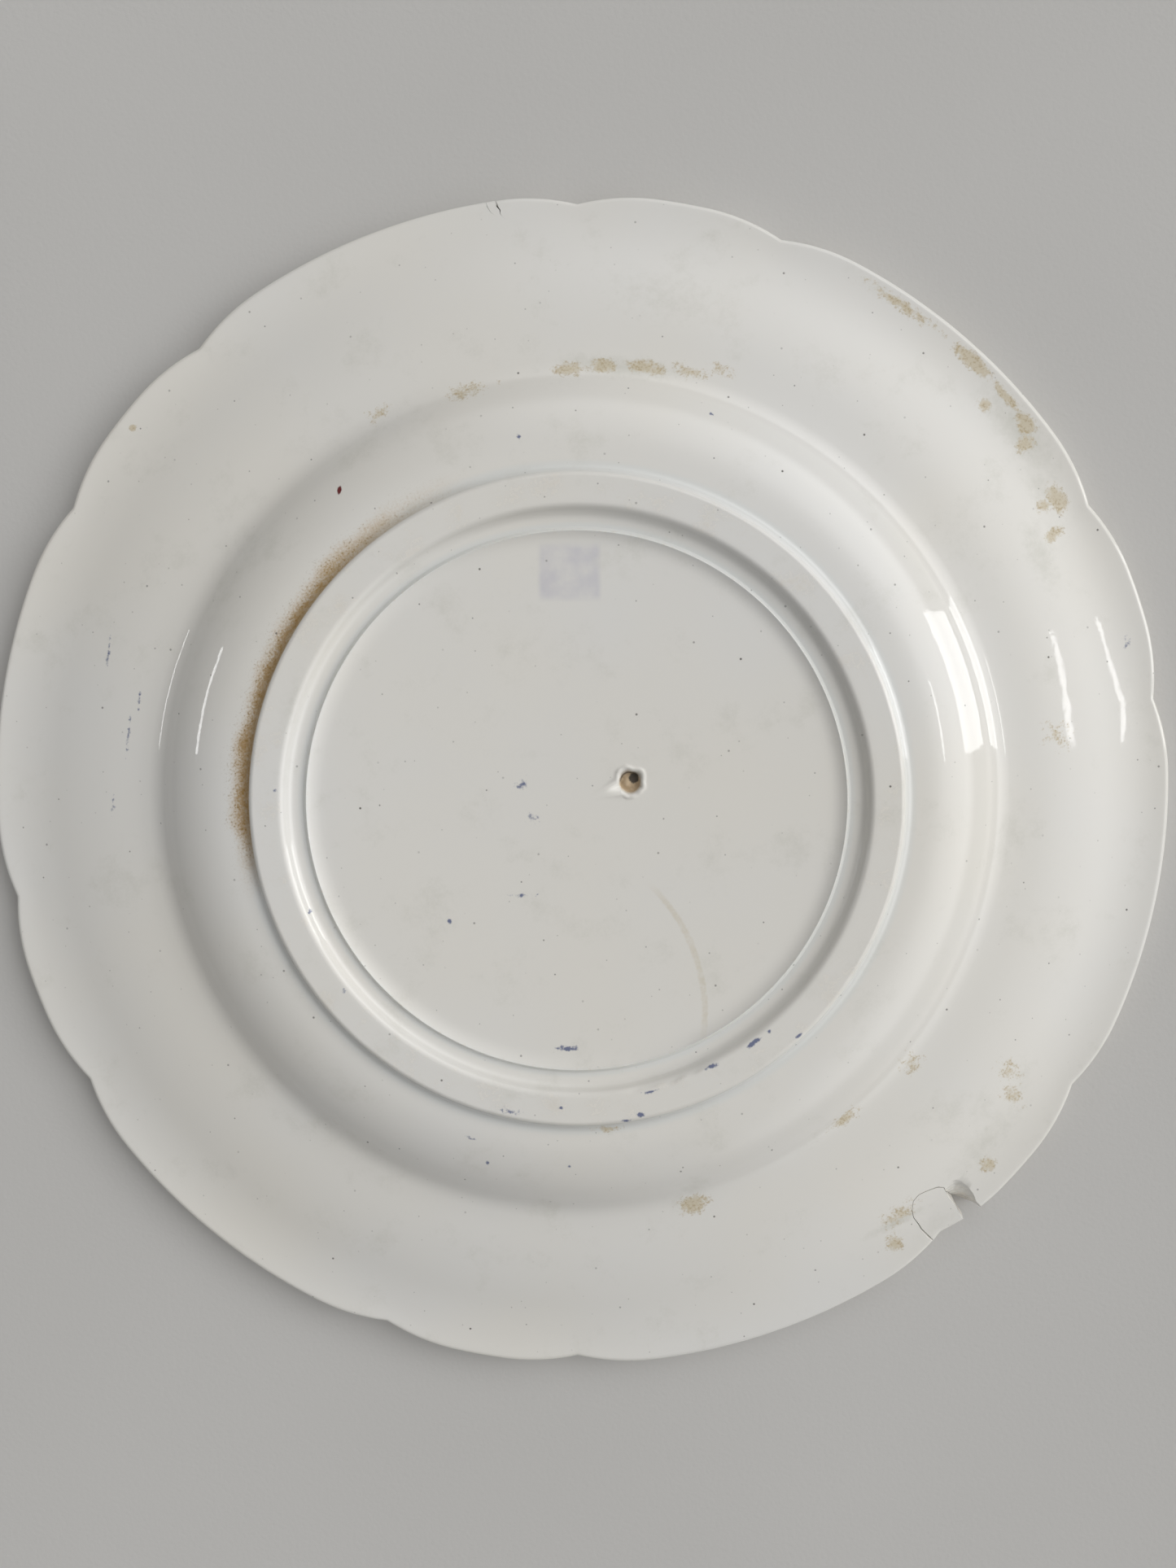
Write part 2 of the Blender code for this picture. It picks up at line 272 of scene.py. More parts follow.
def plateTree():  # turns the profile into a scalloped plate
    tree = bpy.data.node_groups.new("turnedPlate", "GeometryNodeTree")
    tree.is_modifier = True
    tree.interface.new_socket("Geometry", in_out="INPUT", socket_type="NodeSocketGeometry")
    tree.interface.new_socket("Rows", in_out="INPUT", socket_type="NodeSocketInt")
    tree.interface.new_socket("Rim Radius", in_out="INPUT", socket_type="NodeSocketFloat")
    for label, value in scallopKnobs.items():
        kind = "NodeSocketInt" if isinstance(value, int) else "NodeSocketFloat"
        tree.interface.new_socket(label, in_out="INPUT", socket_type=kind)
    tree.interface.new_socket("Glaze", in_out="INPUT", socket_type="NodeSocketMaterial")
    tree.interface.new_socket("Geometry", in_out="OUTPUT", socket_type="NodeSocketGeometry")
    start = Wire(tree)

    def knob(label):
        return start.node("NodeGroupInput", None, None, label)

    lastRow = knob("Rows") - 1
    sizes = {"Size X": 2 * math.pi, "Size Y": lastRow}
    sizes.update({"Vertices X": knob("Columns") + 1, "Vertices Y": knob("Rows")})
    grid = start.node("GeometryNodeMeshGrid", None, sizes)
    spot = start.node("GeometryNodeInputPosition")
    angle = spot.part("X") * -1
    row = spot.part("Y") + lastRow / 2
    sample = {"Geometry": knob("Geometry"), "Value": spot, "Index": row.math("ROUND", row)}
    turned = start.node("GeometryNodeSampleIndex", {"data_type": "FLOAT_VECTOR"}, sample)
    radius = turned.part("X")
    height = turned.part("Z")
    degrees = angle * (180 / math.pi)
    halfSector = 180 / knob("Sectors")
    fromLobe = start.math("WRAP", degrees, halfSector, halfSector * -1).size()
    fromCusp = (fromLobe - knob("Small Lobe") / 2).size()
    pull = (1 - fromCusp / knob("Cusp Reach")).larger(0)
    rim = knob("Rim Radius")
    drawnIn = radius - pull * pull * knob("Cusp Depth") * radius.ramp(rim - knob("Scallop Fade"), rim)
    across = drawnIn * angle.math("COSINE", angle)
    up = drawnIn * angle.math("SINE", angle)
    flat = start.node("ShaderNodeCombineXYZ", None, {0: across, 1: up, 2: height})

    def bumps(size, seed):
        sockets = {"Vector": flat, "W": seed, "Scale": 1 / size, "Detail": 1.0}
        return start.node("ShaderNodeTexNoise", {"noise_dimensions": "4D"}, sockets) * 2 - 1

    raised = height.ramp(2.5 * mm, 7 * mm)  # the lip stays flat on the table
    wobble = bumps(knob("Wobble Size"), knob("Seed")) * knob("Wobble") * raised
    wornRidge = (radius - ridge * mm).size().ramp(0.7 * mm, 0.1 * mm)
    wornFoot = (radius - (footOuter + 0.1) * mm).size().ramp(0.6 * mm, 0.1 * mm)
    worn = (wornRidge + wornFoot) * height.ramp((recessHeight - 0.3) * mm, (recessHeight + 0.2) * mm)
    crumble = bumps(knob("Crumble Size"), knob("Seed") + 3) * knob("Crumble") * worn
    place = start.node("ShaderNodeCombineXYZ", None, {0: across, 1: up, 2: height + wobble + crumble})
    shaped = start.node("GeometryNodeSetPosition", None, {"Geometry": grid, "Position": place})
    closed = start.node("GeometryNodeMergeByDistance", None, {"Geometry": shaped, "Distance": 0.001 * mm})
    smooth = start.node("GeometryNodeSetShadeSmooth", None, {"Geometry": closed, "Shade Smooth": True})
    real = start.node("GeometryNodeRealizeInstances", None, {"Geometry": smooth})
    glazed = start.node("GeometryNodeSetMaterial", None, {"Geometry": real, "Material": knob("Glaze")})
    start.node("NodeGroupOutput", None, {"Geometry": glazed})
    return tree


def addObject(name, mesh):
    made = bpy.data.objects.new(name, mesh)
    scene.collection.objects.link(made)
    return made


def bakeMesh(carrier, name):  # the evaluated object as a plain mesh; its modifiers are dropped
    graph = bpy.context.evaluated_depsgraph_get()
    mesh = bpy.data.meshes.new_from_object(carrier.evaluated_get(graph))
    mesh.name = name
    carrier.modifiers.clear()
    return mesh


def turnPlate(glaze):
    points = plateProfile(plateSizes)
    line = bpy.data.meshes.new("plateProfile")
    edges = [(n, n + 1) for n in range(len(points) - 1)]
    line.from_pydata([(p.x * mm, 0, p.y * mm) for p in points], edges, [])
    carrier = addObject("plateProfile", line)
    modifier = carrier.modifiers.new("turnedPlate", "NODES")
    tree = plateTree()
    values = dict(scallopKnobs, Rows=len(points), Glaze=glaze)
    values["Rim Radius"] = plateSizes["rimRadius"] * mm
    modifier.node_group = tree
    for item in tree.interface.items_tree:
        if item.in_out == "INPUT" and item.name in values:
            modifier[item.identifier] = values[item.name]
    mesh = bakeMesh(carrier, "wholePlate")
    bpy.data.objects.remove(carrier)
    print("plate turned:", len(points), "rows,", len(mesh.polygons), "faces")
    return mesh


# Burst bubble in the recess floor and a flake along the foot ring's inner edge
pitSizes = {
    "radius": 2.05,
    "uneven": 0.2,
    "wall": 0.5,
    "depth": 1.3,
    "lipRadius": 2.45,
    "lipWidth": 0.3,
    "lipRise": 0.2,
    "moundPlace": (-0.55, 0.05),
    "moundReach": 0.85,
    "moundRise": 0.75,
}
flakeSizes = {"start": 259.0, "end": 278.0, "inner": 48.8, "width": 1.0, "depth": 0.22}


def smoothStep(value, low, high):
    share = min(1.0, max(0.0, (value - low) / (high - low)))
    return share * share * (3 - 2 * share)


def pitDrop(x, y):  # millimetres; the lip stands proud of the glaze round the hole
    away = Vector((x, y)) - pitPlace
    bearing = away.normalized() if away.length else Vector((1, 0))
    p = pitSizes
    uneven = 1 + p["uneven"] * noise.noise(Vector((bearing.x * 1.4, bearing.y * 1.4, 2.0)))
    reach = away.length / uneven
    beads = 1 + 0.5 * noise.noise(Vector((bearing.x * 3.5, bearing.y * 3.5, 8.0)))
    lip = p["lipRise"] * beads * math.exp(-((reach - p["lipRadius"]) / p["lipWidth"]) ** 2)
    inside = 1 - smoothStep(reach, p["radius"] - p["wall"], p["radius"])
    mound = p["moundRise"] * math.exp(-((away - Vector(p["moundPlace"])).length / p["moundReach"]) ** 2)
    crumbs = 0.22 * noise.noise(Vector((x, y, 0)) * 2.4)
    return lip - (p["depth"] - mound - crumbs) * inside


def flakeDrop(x, y):
    f = flakeSizes
    degrees = math.degrees(math.atan2(y, x)) % 360
    ends = smoothStep(degrees, f["start"], f["start"] + 4) - smoothStep(degrees, f["end"] - 4, f["end"])
    edge = f["inner"] + f["width"] * (0.75 + 0.5 * noise.noise(Vector((x, y, 0)) * 0.5))
    return -f["depth"] * ends * (1 - smoothStep(math.hypot(x, y), edge - 0.25, edge + 0.25))


def wearUnderside(mesh):
    for vertex in mesh.vertices:
        x, y, z = vertex.co / mm
        if z > recessHeight - 2 and (x - pitPlace.x) ** 2 + (y - pitPlace.y) ** 2 < 16:
            vertex.co.z += pitDrop(x, y) * mm
        elif z > recessHeight + 0.3 and y < -44 and math.hypot(x, y) < 51.5:
            vertex.co.z += flakeDrop(x, y) * mm


# Broken rim: its line runs along the rim and in from it, in millimetres from the middle of the piece
breakSizes = {
    "angle": 291.0,
    "line": (  # along, in, gap to the plate, slant of the broken side, chamfer of the plate's edge
        (-3.4, -2.5, 0.11, 0.0, 0.28),
        (-4.04, 2.56, 0.11, 0.0, 0.28),
        (-4.21, 4.41, 0.07, 0.0, 0.2),
        (-4.09, 7.04, 0.04, 0.0, 0.05),
        (-3.43, 8.54, 0.03, 0.0, 0.02),
        (-2.04, 9.78, 0.04, 0.0, 0.02),
        (-0.33, 10.08, 0.03, 0.0, 0.02),
        (1.81, 9.47, 0.04, 0.0, 0.02),
        (3.46, 8.68, 0.05, 0.0, 0.04),
        (4.08, 7.87, 0.05, 0.1, 0.0),
        (3.58, 6.18, 0.05, 0.4, 0.0),
        (3.45, 4.14, 0.05, 0.55, 0.0),
        (2.81, 1.86, 0.05, 0.55, 0.0),
        (2.3, -2.5, 0.05, 0.55, 0.0),
    ),
    "spacing": 0.4,
    "roughness": 0.06,
    "tilt": 0.5,
}
chipSizes = {  # along and in, millimetres
    "scarEdge": (  # where the scar meets the glaze
        (4.08, 7.87),
        (5.15, 7.93),
        (6.2, 7.8),
        (6.86, 7.57),
        (7.3, 7.1),
        (7.52, 6.45),
        (7.6, 5.09),
        (7.4, 3.79),
        (7.05, 2.67),
        (6.7, 1.91),
        (6.5, -3.2),
    ),
    "through": ((2.0, 5.4), (3.0, 4.6), (3.45, 4.14), (4.25, 3.56), (5.04, 2.61), (5.59, 1.75), (6.1, -3.2)),
    "inPocket": ((1.5, -3.2), (1.5, 7.4)),  # closes the scar on the side of the loose piece
    "thickness": 4.0,
    "strike": (4.2, -0.5),  # where the blow fell, the middle of the ripples
    "ripple": 0.05,
    "rippleLength": 0.9,
    "cell": 0.14,
}
hairlineSizes = (  # rim cracks: degrees, radius, half width and depth in millimetres
    (
        (78.75, 104.5, 0.06, 3.2),
        (78.6, 102.4, 0.06, 1.4),
        (78.35, 101.4, 0.04, 0.6),
        (78.0, 100.8, 0.01, 0.1),
    ),
    (
        (77.8, 104.5, 0.16, 3.6),
        (77.65, 102.2, 0.2, 2.0),
        (77.44, 101.6, 0.16, 1.2),
        (77.48, 100.9, 0.07, 0.6),
        (77.05, 99.9, 0.01, 0.1),
    ),
)


def backHeight(radius):  # the flange's underside, in millimetres
    s = plateSizes
    fall = s["flangeFall"] / s["flangeWidth"]
    bend = s["rimRadius"] - s["lipBendInset"]
    land = s["rimRadius"] - s["lipRound"] - s["lipLand"]
    slope = fall + s["flangeBow"] / (s["flangeBowInset"] - s["lipBendInset"])
    reach = s["lipBendRound"] * slope / 2
    past = max(0.0, radius - bend + reach)
    lift = past**2 / (2 * s["lipBendRound"]) if past < 2 * reach else slope * (past - reach)
    return s["flangeThickness"] * math.hypot(1, fall) + fall * (land - bend) + slope * (bend - radius) + lift


def besideRim(along, inset):
    rimRadius = plateSizes["rimRadius"]
    angle = math.radians(breakSizes["angle"]) + along / rimRadius
    return Vector((math.cos(angle), math.sin(angle))) * (rimRadius - inset)


def breakLine():  # points of the break with their gap, slant, chamfer and outward direction
    line = breakSizes["line"]
    points = []
    for n, start in enumerate(line):
        end = line[(n + 1) % len(line)]
        steps = max(1, round(math.dist(start[:2], end[:2]) / breakSizes["spacing"]))
        for k in range(steps):
            along, inset, *rest = (a + (b - a) * k / steps for a, b in zip(start, end))
            points.append((besideRim(along, inset), rest))
    middle = besideRim(-0.3, 4.0)
    made = []
    for n, (place, rest) in enumerate(points):
        run = points[(n + 1) % len(points)][0] - points[n - 1][0]
        side = Vector((run.y, -run.x)).normalized()
        if side.dot(place - middle) < 0:
            side.negate()
        made.append((place, side, *rest))
    return made


def breakBlock(name, loose):  # block on the broken piece's line; loose leaves the crack's gap round it
    levels = (-4.6, -3.6, -2.7, -1.9, -1.2, -0.7, -0.35, -0.15, 0.0, 0.4)  # above the flange's underside
    shape = bmesh.new()
    rings = []
    for n in range(len(levels) + 2):
        level = levels[min(max(n - 1, 0), len(levels) - 1)]
        ring = []
        for place, side, gap, slant, chamfer in breakLine():
            z = backHeight(place.length) + level
            if n == 0:
                z = -2.0
            elif n > len(levels):
                z = 12.0
            spot = Vector((place.x, place.y, z))
            shift = breakSizes["roughness"] * (noise.noise(spot * 0.7) + 0.6 * noise.noise(spot * 2.1))
            shift += slant * min(4.0, max(0.0, -level)) / 4
            bevel = smoothStep(level, -0.35, 0.0)
            shift += gap + chamfer * bevel if loose else -0.05 * bevel
            edge = place + side * shift
            ring.append(shape.verts.new((edge.x * mm, edge.y * mm, z * mm)))
        rings.append(ring)
    for low, high in zip(rings, rings[1:]):
        for k in range(len(low)):
            shape.faces.new((low[k - 1], low[k], high[k], high[k - 1]))
    shape.faces.new(rings[0])
    shape.faces.new(rings[-1])
    return cutterObject(name, shape)


def cutterObject(name, shape):  # its faces carry the second material slot, the bare clay
    bmesh.ops.recalc_face_normals(shape, faces=shape.faces)
    for face in shape.faces:
        face.material_index = 1
        face.smooth = True
    mesh = bpy.data.meshes.new(name)
    shape.to_mesh(mesh)
    shape.free()
    return addObject(name, mesh)


def lineDistance(spot, line):
    nearest = 1e9
    for start, end in zip(line, line[1:]):
        first = Vector(start)
        run = Vector(end) - first
        share = min(1.0, max(0.0, (spot - first).dot(run) / run.length_squared))
        nearest = min(nearest, (spot - first - share * run).length)
    return nearest


def insideOf(spot, corners):
    inside = False
    for n, (x, y) in enumerate(corners):
        u, v = corners[n - 1]
        if (y > spot.y) != (v > spot.y) and spot.x < x + (u - x) * (spot.y - y) / (v - y):
            inside = not inside
    return inside


def scarDepth(along, inset):  # how deep the lost chip goes below the flange's underside
    c = chipSizes
    spot = Vector((along, inset))
    sway = [noise.noise(Vector((along, inset, seed)) * 0.9) for seed in (5, 9)]
    spot += 0.12 * Vector(sway)
    out = lineDistance(spot, c["scarEdge"])
    if not insideOf(spot, c["scarEdge"] + c["inPocket"]):
        return -min(2.0, out)
    through = lineDistance(spot, c["through"])
    if insideOf(spot, c["through"] + c["inPocket"][:1]):
        return c["thickness"] + 1.5 * through
    share = out / (out + through)
    wave = math.sin(2 * math.pi * (spot - Vector(c["strike"])).length / c["rippleLength"])
    rough = 0.05 * noise.noise(Vector((along, inset, 0)) * 1.7)
    return c["thickness"] * share ** 1.25 + (c["ripple"] * wave + rough) * smoothStep(share, 0.03, 0.25)


def sheetRim(sheet):  # round the edge of a grid of points
    farSide = [line[-1] for line in sheet[1:-1]]
    nearSide = [line[0] for line in sheet[-2:0:-1]]
    return sheet[0] + farSide + sheet[-1][::-1] + nearSide


def chipCutter():
    cell = chipSizes["cell"]
    alongs = [-1 + cell * n for n in range(round(11 / cell))]
    insets = [-3 + cell * n for n in range(round(13 / cell))]
    shape = bmesh.new()
    low = []
    high = []
    for along in alongs:
        places = [besideRim(along, inset) * mm for inset in insets]
        floors = [max(-2.0, backHeight(plateSizes["rimRadius"] - b) - scarDepth(along, b)) for b in insets]
        low.append([shape.verts.new((p.x, p.y, z * mm)) for p, z in zip(places, floors)])
        high.append([shape.verts.new((p.x, p.y, 12 * mm)) for p in places])
    for sheet in (low, high):
        for first, second in zip(sheet, sheet[1:]):
            for n in range(len(insets) - 1):
                shape.faces.new((first[n], first[n + 1], second[n + 1], second[n]))
    below = sheetRim(low)
    above = sheetRim(high)
    for n in range(len(below)):
        shape.faces.new((below[n - 1], below[n], above[n], above[n - 1]))
    return cutterObject("chipCutter", shape)


def hairlineCutter(name, steps):  # thin wedge that follows a crack in from the rim
    shape = bmesh.new()
    places = [Vector((math.cos(math.radians(a)), math.sin(math.radians(a)))) * r for a, r, w, d in steps]
    rings = []
    for n, (angle, radius, width, depth) in enumerate(steps):
        run = places[min(n + 1, len(steps) - 1)] - places[max(n - 1, 0)]
        side = Vector((run.y, -run.x)).normalized() * width
        top = backHeight(radius)
        corners = ((places[n] + side, top + 1), (places[n] - side, top + 1), (places[n], top - depth))
        rings.append([shape.verts.new((p.x * mm, p.y * mm, z * mm)) for p, z in corners])
    for low, high in zip(rings, rings[1:]):
        for n in range(3):
            shape.faces.new((low[n - 1], low[n], high[n], high[n - 1]))
    shape.faces.new(rings[0])
    shape.faces.new(rings[-1])
    return cutterObject(name, shape)


def cutPiece(name, whole, cutters, clay):  # cutters are (object, operation)
    piece = addObject(name, whole.copy())
    piece.data.materials.append(clay)
    for cutter, operation in cutters:
        modifier = piece.modifiers.new(cutter.name, "BOOLEAN")
        modifier.object = cutter
        modifier.operation = operation
        modifier.solver = "EXACT"
    piece.data = bakeMesh(piece, name)
    for cutter, operation in cutters:
        bpy.data.objects.remove(cutter)
    piece.data.set_sharp_from_angle(angle=math.radians(38))
    print(name, "cut:", len(piece.data.polygons), "faces")
    return piece


def buildPlate(whole, clay):
    cutters = [(breakBlock("breakPocket", True), "DIFFERENCE"), (chipCutter(), "DIFFERENCE")]
    for n, steps in enumerate(hairlineSizes):
        cutters.append((hairlineCutter(f"hairline{n}", steps), "DIFFERENCE"))
    return cutPiece("glazedPlate", whole, cutters, clay)


def buildShard(whole, clay):
    shard = cutPiece("rimShard", whole, [(breakBlock("shardBlock", False), "INTERSECT")], clay)
    middle = besideRim(-0.3, 4.0) * mm
    spoke = Vector((middle.x, middle.y, 0)).normalized()
    pivot = Vector((middle.x, middle.y, 2 * mm))
    tilt = Matrix.Rotation(math.radians(breakSizes["tilt"]), 4, spoke)
    shard.data.transform(Matrix.Translation(pivot) @ tilt @ Matrix.Translation(-pivot))
    lowest = min(vertex.co.z for vertex in shard.data.vertices)
    shard.data.transform(Matrix.Translation((0, 0, max(0.0, -lowest))))
    return shard


# Glaze: colours are linear, sizes in millimetres, angles in degrees round the plate
glazeLooks = {
    "cream": (0.80, 0.775, 0.715, 1),
    "milk": (0.79, 0.78, 0.75, 1),
    "pooled": (0.70, 0.74, 0.74, 1),
    "thin": (0.66, 0.58, 0.46, 1),
    "ochre": (0.47, 0.28, 0.065, 1),
    "brown": (0.30, 0.17, 0.045, 1),
    "olive": (0.19, 0.13, 0.05, 1),
    "tan": (0.42, 0.31, 0.15, 1),
    "beige": (0.58, 0.49, 0.32, 1),
    "haze": (0.60, 0.59, 0.52, 1),
    "ink": (0.055, 0.085, 0.22, 1),
    "lavender": (0.46, 0.45, 0.56, 1),
    "maroon": (0.16, 0.03, 0.03, 1),
    "hole": (0.05, 0.04, 0.03, 1),
    "clay": (0.56, 0.43, 0.28, 1),
    "gloss": 0.03,
}
chipCrusts = (  # beige residue: degrees, radius, half size across, half size along, turn, strength
    (285.4, 98.3, 1.9, 1.7, 285, 1.0),
    (298.3, 98.4, 1.5, 1.7, 298, 1.0),
    (287.5, 94.1, 1.8, 3.6, 287, 0.5),
)
crustMarks = (
    (97, 73.6, 1.2, 3.0, 97, 0.5),
    (85, 71.6, 1.6, 4.0, 85, 0.5),
    (71, 72.9, 1.4, 3.2, 71, 0.9),
    (66.5, 73.6, 1.5, 2.6, 66, 1.0),
    (61, 74.1, 1.4, 4.0, 61, 0.9),
    (55, 75, 1.2, 3.4, 55, 0.6),
    (51.5, 76.7, 1.0, 2.2, 51, 0.5),
    (266, 74.2, 2.2, 3.0, 266, 0.9),
    (290, 72.8, 1.3, 3.5, 290, 0.7),
    (302, 74, 2.0, 2.2, 302, 0.5),
    (28, 101.0, 1.5, 5.0, 28, 1.2),
    (23.2, 100.9, 1.0, 4.0, 23, 0.8),
    (37, 101.0, 1.2, 8.0, 37, 0.7),
    (24.2, 97.2, 1.6, 1.4, 24, 0.9),
    (20, 100.4, 1.8, 2.4, 20, 1.2),
    (18.6, 98.2, 2.2, 1.6, 18, 1.0),
    (12.2, 97.4, 2.0, 3.0, 12, 1.2),
    (12.3, 94.7, 1.8, 1.4, 12, 0.9),
    (9.2, 93.5, 2.4, 1.3, 9, 1.0),
    (348, 83.5, 2.5, 2.0, 348, 0.3),
    (308, 89.9, 2.6, 1.8, 308, 0.5),
    (305.8, 93.4, 2.8, 1.5, 306, 0.5),
    (255.3, 55.8, 0.8, 2.6, 255, 0.6),
    (120.1, 100.5, 0.75, 0.7, 120, 1.3),
)
inkMarks = (  # stray printing ink: degrees, radius, half length, half width, turn, strength
    (248, 41.7, 2.2, 0.6, 341, 0.8),
    (264.4, 50.1, 2.1, 0.4, 352, 0.8),
    (261.8, 53.6, 0.9, 0.55, 350, 1.3),
    (259.1, 54.2, 1.1, 0.4, 346, 0.8),
    (277.3, 49.7, 1.5, 0.6, 12, 0.8),
    (286.5, 50.0, 1.9, 0.6, 18, 1.2),
    (290.6, 50.0, 0.6, 0.5, 20, 0.9),
    (293.9, 53.9, 0.75, 0.4, 24, 1.0),
    (247.3, 51.4, 0.5, 0.4, 0, 0.8),
    (238.0, 53.2, 2.2, 0.7, 330, 0.4),
    (232.6, 60.3, 1.1, 0.4, 322, 0.5),
    (236.2, 64.0, 0.6, 0.5, 0, 0.7),
    (249.0, 62.5, 0.5, 0.4, 0, 0.5),
    (142.5, 85.3, 3.2, 0.4, 62, 0.5),
    (151.5, 78.7, 4.0, 0.4, 62, 0.5),
    (147.2, 77.7, 2.2, 0.4, 64, 0.45),
    (160.4, 81, 2.0, 0.45, 66, 0.5),
    (141.0, 9.7, 1.6, 1.0, 30, 0.4),
    (178.0, 7.6, 1.4, 0.9, 300, 0.4),
    (219.0, 18.0, 2.4, 0.4, 340, 0.45),
    (203.0, 29.2, 0.6, 0.5, 0, 0.9),
    (157.4, 50.1, 0.6, 0.5, 0, 0.8),
    (78.8, 61.2, 0.55, 0.5, 0, 0.8),
    (50.9, 68.5, 0.5, 0.45, 0, 0.7),
    (355.9, 99, 1.6, 0.8, 60, 0.4),
    (182.0, 48.3, 0.6, 0.5, 0, 0.5),
    (199.0, 50.0, 0.7, 0.5, 0, 0.5),
)
hazeMarks = (  # grey bloom and dirt: same values as the residue
    (287, 95.1, 1.3, 8.0, 276, 0.8),
    (301.1, 93.4, 1.2, 1.4, 301, 0.6),
    (8, 89.9, 3.5, 9.0, 5, 0.7),
    (14, 95.8, 3.0, 6.0, 14, 0.6),
    (60, 86.9, 6.0, 14.0, 60, 0.35),
    (140, 50, 2.0, 9.0, 140, 0.4),
    (64, 73.6, 2.6, 15.0, 64, 0.8),
    (20, 98.6, 4.5, 13.0, 20, 0.8),
    (300, 95.0, 4.0, 12.0, 300, 0.5),
)


speckMarks = ((107.0, 65.4, 1.0, 0.5, 60, 1.0),)  # the maroon speck: same values as the ink
smudgeSizes = {"place": (12.2 * mm, 36.5 * mm, 0), "turn": -20}
dripSizes = {"middle": (-19.8 * mm, -30.5 * mm, 0), "radius": 30}
pinSizes = (  # cell, reach in cells, least luck, darkness, offset
    (17 * mm, 0.015, 0.15, 0.9, 0.0),
    (9 * mm, 0.021, 0.4, 0.65, 3.1),
    (6 * mm, 0.025, 0.55, 0.4, 7.3),
)


def spotAt(angle, radius):  # degrees and millimetres to a place on the plate, in metres
    turn = math.radians(angle)
    return (math.cos(turn) * radius * mm, math.sin(turn) * radius * mm, 0)


def awayFrom(place, middle):  # distance in millimetres
    sockets = {0: place, 1: middle}
    return place.node("ShaderNodeVectorMath", {"operation": "DISTANCE"}, sockets, "Value") * 1000


def markLevel(place, marks):  # highest at the middle of a mark, nothing at its edge, below nothing outside
    level = None
    for angle, radius, first, second, turn, strength in marks:
        spot = spotAt(angle, radius)
        if 0.75 < first / second < 1.34:
            away = awayFrom(place, spot) / math.sqrt(first * second)
        else:
            size = (first * mm, second * mm, 1)
            sockets = {"Vector": place, "Location": spot, "Scale": size}
            sockets["Rotation"] = (0, 0, math.radians(turn))
            local = place.node("ShaderNodeMapping", {"vector_type": "TEXTURE"}, sockets)
            away = place.node("ShaderNodeVectorMath", {"operation": "LENGTH"}, {0: local}, "Value")
        here = strength - away * strength
        level = here if level is None else level.larger(here)
    return level


def newMaterial(name):
    material = bpy.data.materials.new(name)
    material.use_nodes = True
    material.node_tree.nodes.clear()
    return material, Wire(material.node_tree)


def finishMaterial(start, colour, roughness, height, depth):
    normal = start.node("ShaderNodeBump", None, {"Strength": 1.0, "Distance": depth, "Height": height})
    sockets = {"Base Color": colour, "Roughness": roughness, "Normal": normal, "IOR": 1.52}
    shader = start.node("ShaderNodeBsdfPrincipled", None, sockets)
    start.node("ShaderNodeOutputMaterial", None, {"Surface": shader})


